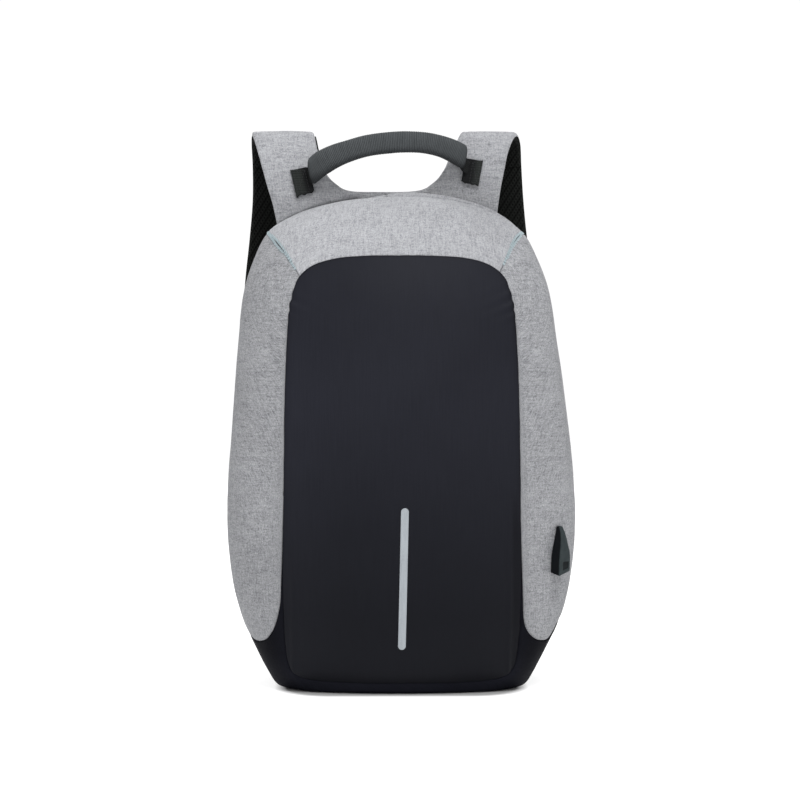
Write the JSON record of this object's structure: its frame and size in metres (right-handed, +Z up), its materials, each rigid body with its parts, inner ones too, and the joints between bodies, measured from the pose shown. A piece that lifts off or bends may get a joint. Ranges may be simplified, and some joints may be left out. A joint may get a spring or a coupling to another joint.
{
  "type": "anti theft backpack",
  "caption": "Rounded hard-front commuter backpack with smooth black front panel, grey woven sides and harness, haul handle, reflective strip and side charging port.",
  "frame": {"origin": "bottom centre of the bounding box, on the floor the bag stands on", "axes": "+Z up, -Y the front of the bag, +X to the right of someone who looks at the front"},
  "size_m": [0.3064, 0.2244, 0.492],
  "materials": {
    "grey_cloth": "matt melange weave, foam backed",
    "black_cloth": "smooth close weave, slight satin sheen",
    "black_mesh": "matt spacer mesh",
    "webbing": "matt ribbed webbing",
    "reflective": "smooth reflective tape",
    "rubber": "matt moulded rubber",
    "plastic": "satin moulded plastic",
    "metal": "satin metal"
  },
  "bodies": {
    "root": {"front_panel": "black_cloth", "top_band": "grey_cloth", "side_band_left": "grey_cloth", "side_band_right": "grey_cloth", "base_cup": "black_cloth", "main_zip": "plastic", "back_panel": "black_mesh", "yoke_cover": "grey_cloth", "yoke_mesh": "black_mesh", "strap_cover_left": "grey_cloth", "strap_mesh_left": "black_mesh", "handle_tab_left": "webbing", "buckle_loop_left": "webbing", "buckle_left": "plastic", "lower_web_left": "webbing", "web_anchor_left": "black_cloth", "zip_slider_left": "metal", "strap_cover_right": "grey_cloth", "strap_mesh_right": "black_mesh", "handle_tab_right": "webbing", "buckle_loop_right": "webbing", "buckle_right": "plastic", "lower_web_right": "webbing", "web_anchor_right": "black_cloth", "zip_slider_right": "metal", "handle_grip": "webbing", "reflective_strip": "reflective", "usb_hood": "rubber", "usb_socket": "metal"}
  },
  "joints": []
}
